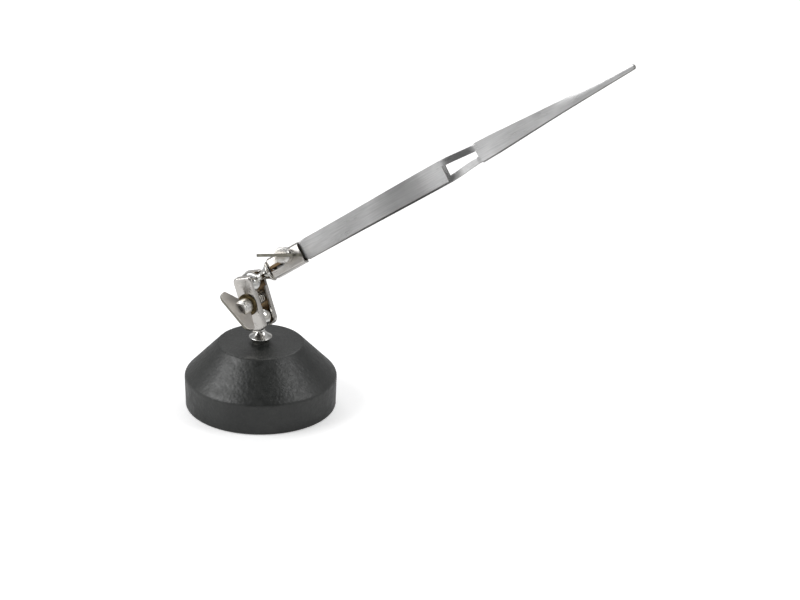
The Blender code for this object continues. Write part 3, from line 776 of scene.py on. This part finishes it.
def make_holder_screw():
    """Threaded boss on the sleeve, thumb screw with its hub and blade, and the pressure pad."""
    matrix = face_frame(ARM, SCREW_X, FACE_Y, SCREW_Z, THUMBSCREW_TURN)
    profile = [(1.65, 1.1), (2.9, 1.1), (3.1, 1.02), (3.2, 0.85), (3.2, 0.3), (3.1, 0.1), (1.65, 0.1)]
    boss = turned("holder_boss", profile, matrix, NICKEL, closed=True)
    stand_for(boss, "holder", "holder_nut")
    tip = local_box("holder_screw", matrix)[0].z
    profile = [(0, 5.9)] + hub_profile(1.2, SCREW_R)[1:]
    profile += threaded(SCREW_R, 1.15, tip + 0.5) + [(1.3, tip + 0.2), (1.1, tip), (0, tip)]
    hub = turned("holder_hub", profile, matrix, HUB_STEEL)
    cut_blade_slot(hub, matrix)
    stand_for(hub, "holder_thumbscrew", "holder_screw")
    make_blade("holder_blade", 2.31, matrix, "holder_thumbscrew", "holder_screw_blade")
    low, high = (corner.z for corner in local_box("holder_screw_pad", matrix))
    profile = [(0, high), (1.4, high), (1.6, high - 0.06), (1.7, high - 0.2)]
    profile += [(1.7, low + 0.1), (1.6, low), (0, low)]
    pad = turned("holder_pad_fine", profile, matrix, BRASS, steps=48)
    stand_for(pad, "holder_pad", "holder_screw_pad")


TAIL_X, WINDOW_FROM, WINDOW_TO, TAPER_FROM, TIP_X = 13.0, 94.8, 110.2, 120.0, 185.3
RIVET_X, ARM_MID_Y, ARM_MID_Z, ARM_T = 15.5, 0.7, 0.85, 0.8
TAIL_HALF_W, GRIP_HALF_W, WINDOW_HALF_W, TAPER_HALF_W = 3.1, 4.2, 4.65, 3.9
GRIP_BOW, JAW_BOW = 2.2, 1.5                   # an arm's greatest distance from the mid-plane
LIMB_W = 2.7                                   # one arm's width where the two cross
CROWN_SHARE, CROWN_FROM, CROWN_TO = 0.22, 142, 182


def arm_half_width(x):
    """Half the arm's width: narrow tail, widening grip, then a long taper to the tip."""
    if x < WINDOW_FROM:
        grip = GRIP_HALF_W + 0.45 * smoothstep(x, 45, WINDOW_FROM)
        return TAIL_HALF_W + (grip - TAIL_HALF_W) * smoothstep(x, SLEEVE_TO + 0.1, SLEEVE_TO + 1.1)
    if x < TAPER_FROM:
        return WINDOW_HALF_W - 0.75 * (x - WINDOW_FROM) / (TAPER_FROM - WINDOW_FROM)
    along = (x - TAPER_FROM) / (TIP_X - TAPER_FROM)
    return TAPER_HALF_W - 2.95 * along - 0.2 * math.sin(math.pi * along)


def arm_offset(x):
    """Distance of an arm's middle from the tweezers' mid-plane; it changes sign at the crossing."""
    closed = (ARM_T + GAP) / 2
    if x < WINDOW_FROM:
        straight = closed + 0.016 * max(0.0, x - RIVET_X)
        return straight + (GRIP_BOW - straight) * smoothstep(x, SLEEVE_TO + 1, 72)
    if x < WINDOW_TO:
        return GRIP_BOW - (GRIP_BOW + JAW_BOW) * smoothstep(x, WINDOW_FROM, WINDOW_TO)
    return -JAW_BOW + (JAW_BOW - closed) * smoothstep(x, WINDOW_TO - 30, TIP_X + 10)


def arm_stations():
    """Distances along the arm at which it gets a row of points, close together at its bends."""
    tail = [TAIL_X, TAIL_X + 0.3, TAIL_X + 0.8, TAIL_X + 1.4, TAIL_X + 5, SLEEVE_TO]
    tail += [SLEEVE_TO + 0.3 * k for k in range(1, 9)]
    grip = [SLEEVE_TO + 3 + (WINDOW_FROM - SLEEVE_TO - 4) * k / 40 for k in range(41)]
    window = [WINDOW_FROM + (WINDOW_TO - WINDOW_FROM) * k / 24 for k in range(25)]
    jaw = [WINDOW_TO + 1 + (TIP_X - 3 - WINDOW_TO) * k / 36 for k in range(37)]
    tip = [TIP_X - 1.4, TIP_X - 0.9, TIP_X - 0.5, TIP_X - 0.2, TIP_X]
    return tail + grip + window + jaw + tip


def end_round(x):
    """Share of the arm's width that is left near its rounded tail and tip."""
    share = 1.0
    if x < TAIL_X + 1.4:
        share = 0.72 + 0.28 * math.sqrt(max(0.0, 1 - ((TAIL_X + 1.4 - x) / 1.4) ** 2))
    if x > TIP_X - 1.4:
        share = 0.45 + 0.55 * math.sqrt(max(0.0, 1 - ((x - TIP_X + 1.4) / 1.4) ** 2))
    return share


def jaw_crown(x):
    """Height of the jaw's outward crown over its edges; the section grows rounder towards the tip."""
    return CROWN_SHARE * arm_half_width(x) * smoothstep(x, CROWN_FROM, CROWN_TO)


def make_tweezer_arm(name, side, body, node):
    """One arm as a bent strip; side is 1 for the arm that starts in front, -1 for the other."""
    bm = bmesh.new()
    stations = arm_stations()
    rows = []
    cells = 5
    for x in stations:
        half = arm_half_width(x) * end_round(x)
        inner = half - LIMB_W if WINDOW_FROM - 1 < x < WINDOW_TO + 1 else 0.0
        across = [-half + (inner + half) * k / cells for k in range(cells)]
        across += [inner + (half - inner) * k / cells for k in range(cells + 1)]
        row = []
        for z in across:
            crown = jaw_crown(x) * (1 - (z / half) ** 2)
            y = ARM_MID_Y - side * (arm_offset(x) - crown)
            row.append(bm.verts.new((x * MM, y * MM, (ARM_MID_Z + side * z) * MM)))
        rows.append(row)
    for x, a, b in zip(stations, rows, rows[1:]):
        first = cells if WINDOW_FROM - 0.1 <= x < WINDOW_TO - 0.1 else 0
        for k in range(first, 2 * cells):
            bm.faces.new((a[k], b[k], b[k + 1], a[k + 1]))
    bmesh.ops.delete(bm, geom=[v for v in bm.verts if not v.link_faces], context="VERTS")
    bmesh.ops.recalc_face_normals(bm, faces=bm.faces)
    arm = finish_mesh(name, bm, ARM, [BRUSHED, RIM])
    sheet = arm.modifiers.new("sheet", "SOLIDIFY")
    sheet.thickness = ARM_T * MM
    sheet.offset = 0
    sheet.use_even_offset = True
    rivet = cylinder_cutter("rivet", 1.0, -4, 4, face_frame(ARM, RIVET_X, 0, ARM_MID_Z, 0))
    carve(arm, [rivet], edge=0.14, segments=3, angle=50, smooth=30)
    # Painted shade on the arm's rims.
    darken_rims(arm, 1)
    stand_for(arm, body, node)


def make_rivet():
    """Tail rivet through the two arms, ending just under their outer faces."""
    matrix = face_frame(ARM, RIVET_X, ARM_MID_Y, ARM_MID_Z, 0)
    half = [(0, ARM_T), (0.75, ARM_T), (0.9, ARM_T - 0.12)]
    profile = half + [(r, -z) for r, z in reversed(half)]
    rivet = turned("tail_rivet", profile, matrix, STEEL, steps=32)
    stand_for(rivet, "tweezers", "tweezer_tail_rivet")


make_base()
make_studs()
make_base_nut()
make_plate("plate_front", 0.0, FRONT_LIP, "clamp_jaw", "clamp_plate_front")
make_plate("plate_rear", math.pi, REAR_LIP, "clamp", "clamp_plate_rear")
make_clamp_screw()
make_clamp_spring()
make_clamp_nut()
make_sleeve()
make_holder_screw()
make_tweezer_arm("arm_front", 1, "tweezer_front", "tweezer_arm_front")
make_tweezer_arm("arm_rear", -1, "tweezer_rear", "tweezer_arm_rear")
make_rivet()


# Stage --------------------------------------------------------------------------------------------

def make_floor():
    """White to the camera; in reflections it is pale round the base and dim behind and far right."""
    bm = bmesh.new()
    bmesh.ops.create_grid(bm, x_segments=1, y_segments=1, size=3.0)
    n = Surface("pale_floor")
    place = n.add("ShaderNodeSeparateXYZ", Vector=n.coords)
    beside = n.ramp(place.outputs["X"], 0.07, 0.14, 0.93, 0.50)
    tone = n.math("MULTIPLY", beside, n.ramp(place.outputs["Y"], 0.03, 0.12, 1.0, 0.50))
    seen = n.add("ShaderNodeLightPath").outputs["Is Camera Ray"]
    colour = n.mix(seen, tone, (0.93, 0.93, 0.93))
    glow = n.math("MULTIPLY", seen, 0.42)
    mat = n.done(Base_Color=colour, Roughness=0.7, Emission_Color=(1, 1, 1, 1), Emission_Strength=glow)
    finish_mesh("floor", bm, Matrix.Translation((0, 0, -0.0001)), mat)


def make_world():
    """White to the camera; for lighting, a grey room with a dark patch over the camera.

    The room is brightest low down, and its upper back half is dimmed.
    """
    world = bpy.data.worlds.new("studio")
    n = Nodes(world)
    n.tree.nodes.clear()
    direction = n.add("ShaderNodeTexCoord").outputs["Generated"]
    parts = n.add("ShaderNodeSeparateXYZ", Vector=direction)
    height, depth = parts.outputs["Z"], parts.outputs["Y"]
    tones = n.add("ShaderNodeValToRGB", Fac=height)
    stops = tones.color_ramp.elements
    stops[0].position, stops[0].color = 0.0, (0.62, 0.62, 0.62, 1)
    stops[1].position, stops[1].color = 1.0, (0.50, 0.50, 0.51, 1)
    stops.new(0.35).color = (0.42, 0.42, 0.42, 1)
    towards = n.tree.nodes.new("ShaderNodeVectorMath")
    towards.operation = "DOT_PRODUCT"
    n.set(towards.inputs[0], direction)
    towards.inputs[1].default_value = Vector((0.0, -0.62, 0.78)).normalized()
    patch = n.ramp(towards.outputs["Value"], 0.62, 0.92, 1.0, 0.16)
    patch.node.interpolation_type = "SMOOTHSTEP"
    upper = n.ramp(height, 0.10, 0.40, 0.0, 1.0)
    upper_back = n.math("MULTIPLY", upper, n.ramp(depth, 0.25, 0.75, 0.0, 1.0))
    strength = n.math("MULTIPLY", patch, n.ramp(upper_back, 0.0, 1.0, 1.0, 0.55))
    room = n.add("ShaderNodeBackground", Color=tones.outputs["Color"], Strength=strength)
    seen = n.add("ShaderNodeBackground", Color=(1, 1, 1, 1), Strength=1.05)
    shown = n.tree.nodes.new("ShaderNodeMixShader")
    n.set(shown.inputs["Fac"], n.add("ShaderNodeLightPath").outputs["Is Camera Ray"])
    n.set(shown.inputs[1], room.outputs["Background"])
    n.set(shown.inputs[2], seen.outputs["Background"])
    n.add("ShaderNodeOutputWorld", Surface=shown.outputs["Shader"])
    bpy.context.scene.world = world


def area_light(name, location, size, power, target=(0.02, 0, 0.03)):
    """A softbox that faces the object; size in metres, power in watts."""
    data = bpy.data.lights.new(name, "AREA")
    data.shape = "RECTANGLE"
    data.size, data.size_y = size
    data.energy = power
    light = bpy.data.objects.new(name, data)
    light.location = location
    direction = Vector(target) - Vector(location)
    light.rotation_euler = direction.to_track_quat("-Z", "Y").to_euler()
    bpy.context.scene.collection.objects.link(light)


def make_lights():
    """Softboxes to the left and right of the camera and one over the back."""
    area_light("key_left", (-0.92, -0.20, 0.76), (0.9, 0.7), 7.2)
    area_light("fill_right", (0.90, -0.27, 0.85), (0.5, 0.6), 3.1)
    area_light("back", (0.10, 0.75, 1.0), (1.2, 0.5), 4.0, (0.03, 0, 0.03))


def make_camera():
    """The view from the front, 25 degrees above the bench, through a long lens."""
    data = bpy.data.cameras.new("camera")
    distance, view_width = 10.0, 0.320
    data.sensor_width = 36.0
    data.lens = data.sensor_width * distance / view_width
    camera = bpy.data.objects.new("camera", data)
    bpy.context.scene.collection.objects.link(camera)
    elevation = math.radians(25.0)
    forward = Vector((0, math.cos(elevation), -math.sin(elevation)))
    target = Vector((0.0558, 0, 0.0457))
    camera.location = target - forward * distance
    camera.rotation_euler = forward.to_track_quat("-Z", "Y").to_euler()
    data.clip_start, data.clip_end = 0.1, 30.0
    bpy.context.scene.camera = camera


make_floor()
make_world()
make_lights()
make_camera()
bpy.context.scene.view_settings.view_transform = "Standard"
